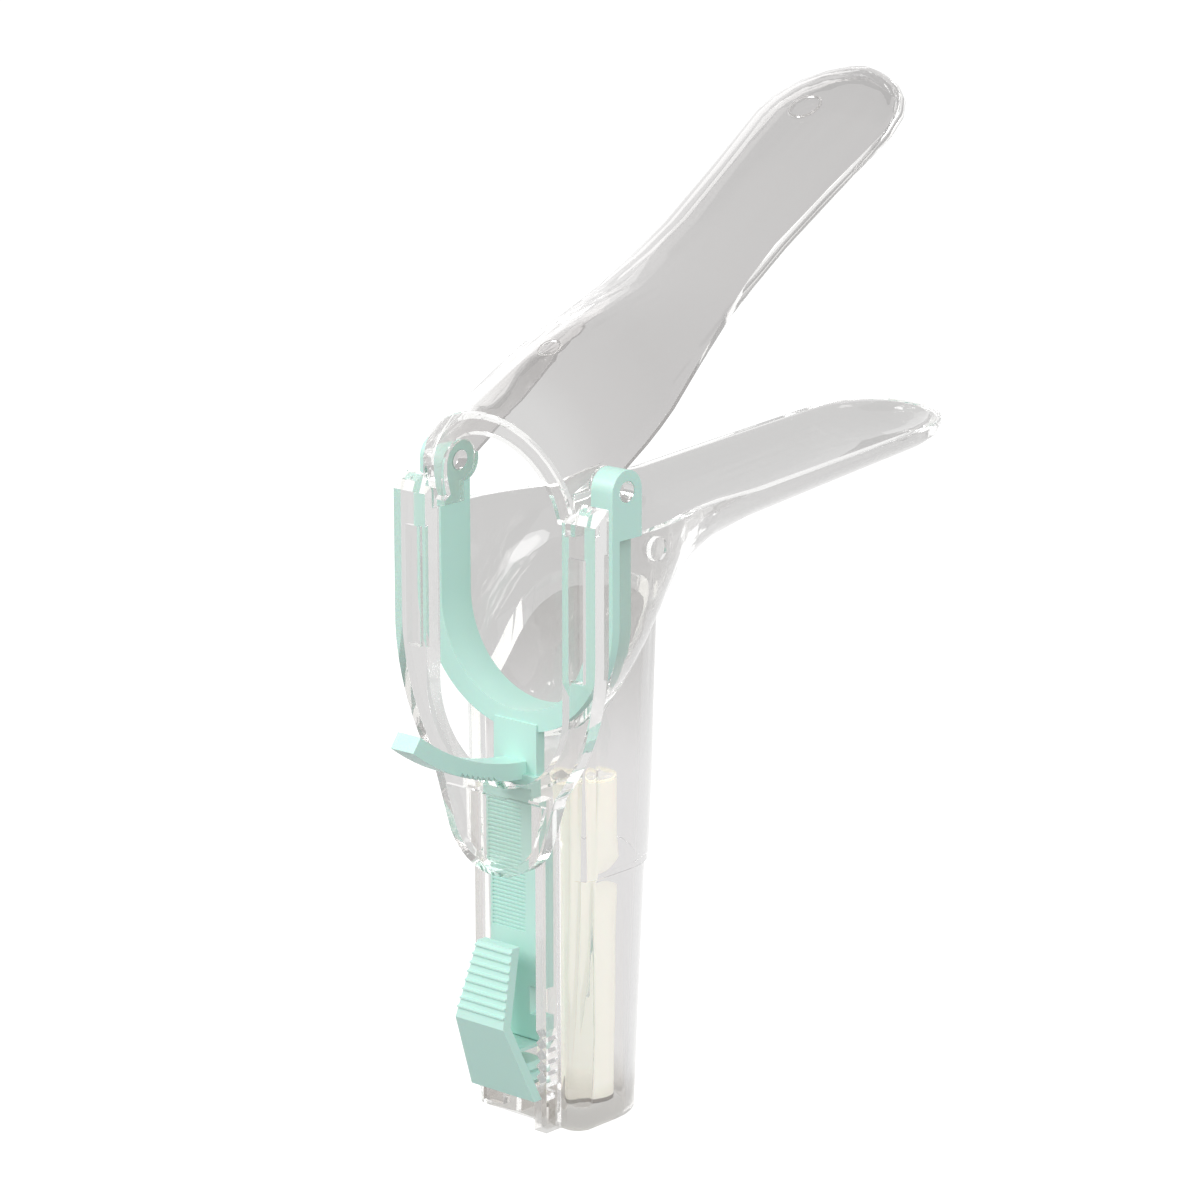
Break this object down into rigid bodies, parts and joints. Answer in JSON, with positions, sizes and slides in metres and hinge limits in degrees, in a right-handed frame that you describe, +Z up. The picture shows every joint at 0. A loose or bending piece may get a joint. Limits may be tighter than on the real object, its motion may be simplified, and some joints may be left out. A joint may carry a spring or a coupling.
{
  "type": "bivalve speculum",
  "caption": "Clear two-blade speculum on an upright hollow handle, with a sliding mint yoke and ratchet that open the upper blade, a pinch latch lever and a lamp in the handle.",
  "frame": {"origin": "on the base of the handle, in the middle of the web between the front channel and the rear chamber", "axes": "+Z up along the handle, +Y the way the blades point, +X the holder's right"},
  "size_m": [0.0486, 0.1447, 0.1846],
  "materials": {
    "clear_body": "clear moulded plastic",
    "clear_blade": "clear moulded plastic",
    "mint_yoke": "semi-gloss moulded",
    "mint_lever": "semi-gloss moulded",
    "lamp_sleeve": "fine matt",
    "lamp_plug": "fine matt",
    "lens": "polished",
    "diode": "resin",
    "board": "solder mask",
    "contact": "rolled",
    "cell": "drawn can",
    "spring": "drawn wire"
  },
  "bodies": {
    "handle_body": {"lower_blade_body": "clear_body", "lamp_tube": "lamp_sleeve", "lamp_plug": "lamp_plug", "lamp_lens": "lens", "lamp_diode": "diode", "lamp_board": "board", "contact_plate": "contact", "contact_strip": "contact", "lamp_cell": "cell", "cell_spring": "spring"},
    "yoke": {"yoke": "mint_yoke"},
    "upper_blade": {"upper_blade": "clear_blade"},
    "latch_lever": {"latch_lever": "mint_lever"}
  },
  "joints": [
    {"name": "yoke_slide", "type": "slide", "parent": "handle_body", "child": "yoke", "axis": [0, 0, 1], "range_m": [0, 0.011]},
    {"name": "upper_blade_hinge", "type": "hinge", "parent": "yoke", "child": "upper_blade", "pos_m": [0, 0.0008, 0.1215], "axis": [1, 0, 0], "range_deg": [-32, 0]},
    {"name": "latch_lever_hinge", "type": "hinge", "parent": "yoke", "child": "latch_lever", "pos_m": [0, -0.0025, 0.017], "axis": [-1, 0, 0], "range_deg": [0, 8], "stiffness_Nm_per_rad": 0.05}
  ]
}
